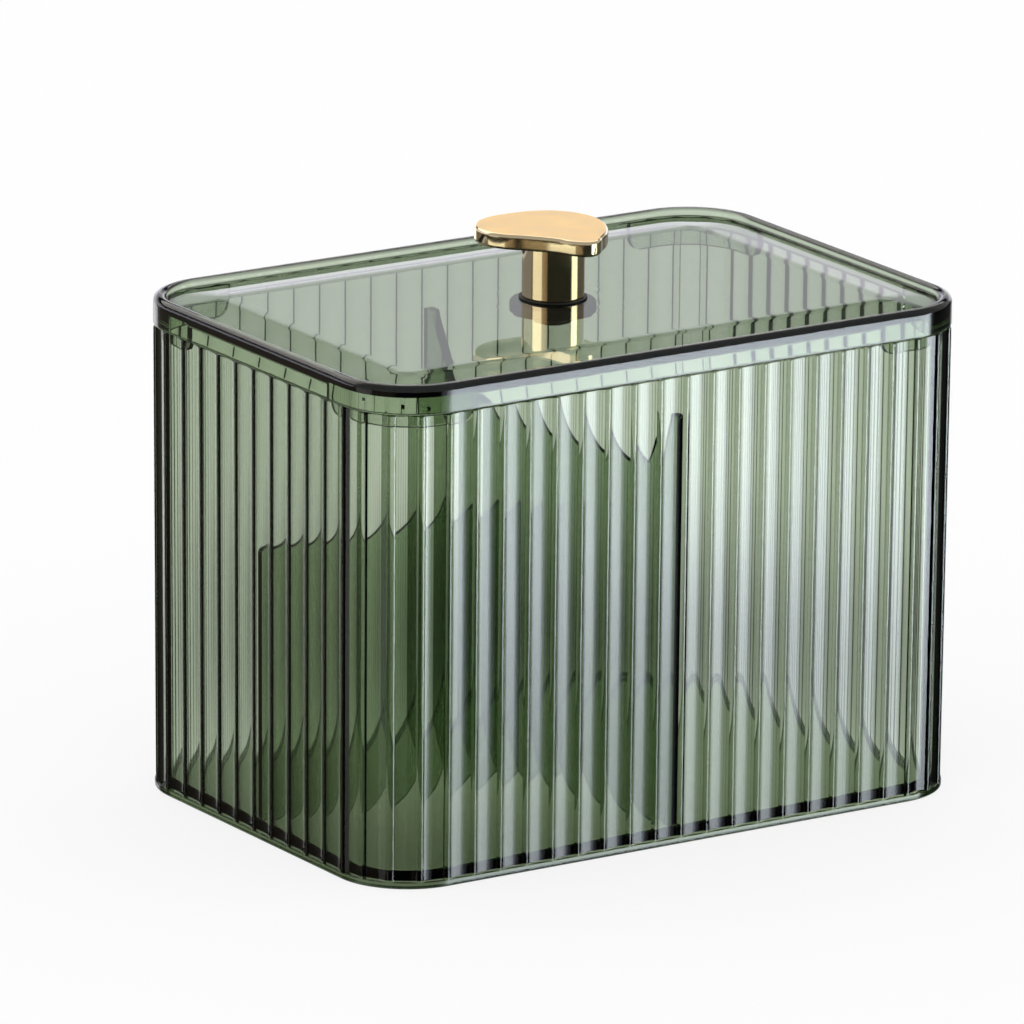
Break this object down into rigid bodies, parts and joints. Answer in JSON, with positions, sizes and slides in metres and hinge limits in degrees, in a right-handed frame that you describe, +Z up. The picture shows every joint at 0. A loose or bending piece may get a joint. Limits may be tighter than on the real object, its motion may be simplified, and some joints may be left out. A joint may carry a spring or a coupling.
{
  "type": "lidded compartment storage box",
  "caption": "Clear smoke-green fluted storage box with upright dividers that make compartments, and a lift-off lid with a gold pebble knob.",
  "frame": {"origin": "middle of the base, on the surface that the box stands on", "axes": "+X along the long side towards the single large compartment, +Y towards the back, +Z up"},
  "size_m": [0.1464, 0.101, 0.12],
  "materials": {
    "smoke_plastic": "clear, polished, smoke-green tint",
    "satin_gold": "satin gold plating",
    "polished_gold": "polished gold plating",
    "black_rubber": "matt",
    "dark_plastic": "satin dark grey",
    "zinc_steel": "zinc plated"
  },
  "bodies": {
    "box": {"box_shell": "smoke_plastic", "cross_divider": "smoke_plastic", "half_divider": "smoke_plastic"},
    "lid": {"lid": "smoke_plastic", "knob_cap": "satin_gold", "knob_stem": "polished_gold", "knob_gasket": "black_rubber", "knob_washer": "dark_plastic", "knob_screw": "zinc_steel"}
  },
  "joints": [
    {"name": "lid_lift", "type": "slide", "parent": "box", "child": "lid", "axis": [0, 0, 1], "range_m": [0, 0.12]}
  ]
}
